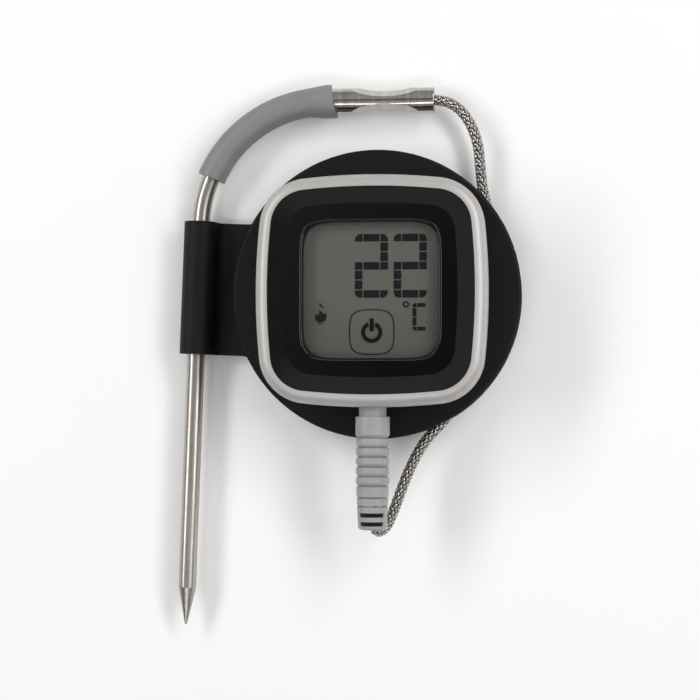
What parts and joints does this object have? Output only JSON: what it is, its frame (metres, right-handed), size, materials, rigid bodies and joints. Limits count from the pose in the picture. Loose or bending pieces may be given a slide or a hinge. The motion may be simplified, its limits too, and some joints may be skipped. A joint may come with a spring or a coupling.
{
  "type": "meat thermometer",
  "caption": "Meat thermometer with a square display unit in a round silicone cable wrap, a bent steel probe in its side sleeve and a braided cable with a jack plug.",
  "frame": {"origin": "centre of the round wrap's rear face, which lies on the table", "axes": "+Z out of the display, +Y along the display's upward direction, towards the probe's bend, +X to the display's right"},
  "size_m": [0.0788, 0.1243, 0.024],
  "materials": {
    "black_silicone": "matte black silicone",
    "braided_steel": "braided stainless steel wire",
    "satin_silver": "satin silver coat on moulded plastic",
    "black_gloss": "glossy black",
    "clear_window": "clear",
    "display_glass": "grey-green liquid crystal glass",
    "white_plastic": "white reflector film",
    "black_plastic": "fine matte black",
    "seal_rubber": "dark grey elastomer",
    "bright_steel": "bright stainless steel",
    "nickel": "bright nickel plate",
    "board_green": "green solder mask",
    "component_brown": "ceramic",
    "probe_steel": "polished stainless steel",
    "bead_epoxy": "black epoxy",
    "wire_enamel": "amber enamel on wire",
    "grip_grey": "matte mid-grey silicone",
    "plug_grey": "matte light grey flexible plastic",
    "insulator_black": "black"
  },
  "bodies": {
    "unit_and_wrap": {"cable_wrap": "black_silicone", "cable_winding": "braided_steel", "cable_top": "braided_steel", "cable_bottom": "braided_steel", "bezel_ring": "satin_silver", "housing_gasket": "seal_rubber", "rear_housing": "black_plastic", "housing_screws": "bright_steel", "front_panel": "black_gloss", "display_window": "clear_window", "touch_film": "clear_window", "lcd_glass": "display_glass", "lcd_reflector": "white_plastic", "display_carrier": "black_plastic", "display_connector": "seal_rubber", "circuit_board": "board_green", "control_chip": "black_plastic", "board_components": "component_brown", "buzzer": "black_plastic", "coin_cell": "bright_steel", "cell_holder": "black_plastic", "cell_contact_top": "bright_steel", "cell_contact_side": "bright_steel", "magnets": "nickel", "jack_socket": "black_plastic", "jack_contacts": "nickel"},
    "battery_cover": {"battery_cover": "black_plastic", "cover_seal": "seal_rubber"},
    "probe": {"probe_tube": "probe_steel", "thermistor_bead": "bead_epoxy", "probe_wires": "wire_enamel", "crimp_ferrule": "probe_steel", "cable_probe_end": "braided_steel", "grip_sleeve": "grip_grey"},
    "plug": {"plug_boot": "plug_grey", "pin_sleeve": "nickel", "pin_insulator": "insulator_black", "pin_tip": "nickel"}
  },
  "joints": [
    {"name": "probe_withdraw", "type": "slide", "parent": "unit_and_wrap", "child": "probe", "axis": [0.0332, 0.9995, 0], "range_m": [0, 0.0935], "deforming": ["cable_top"]},
    {"name": "plug_pull", "type": "slide", "parent": "unit_and_wrap", "child": "plug", "axis": [0, -1, 0], "range_m": [0, 0.014], "deforming": ["cable_bottom"]},
    {"name": "battery_cover_turn", "type": "hinge", "parent": "unit_and_wrap", "child": "battery_cover", "pos_m": [0, 0, 0.002], "axis": [0, 0, -1], "range_deg": [0, 60]}
  ]
}
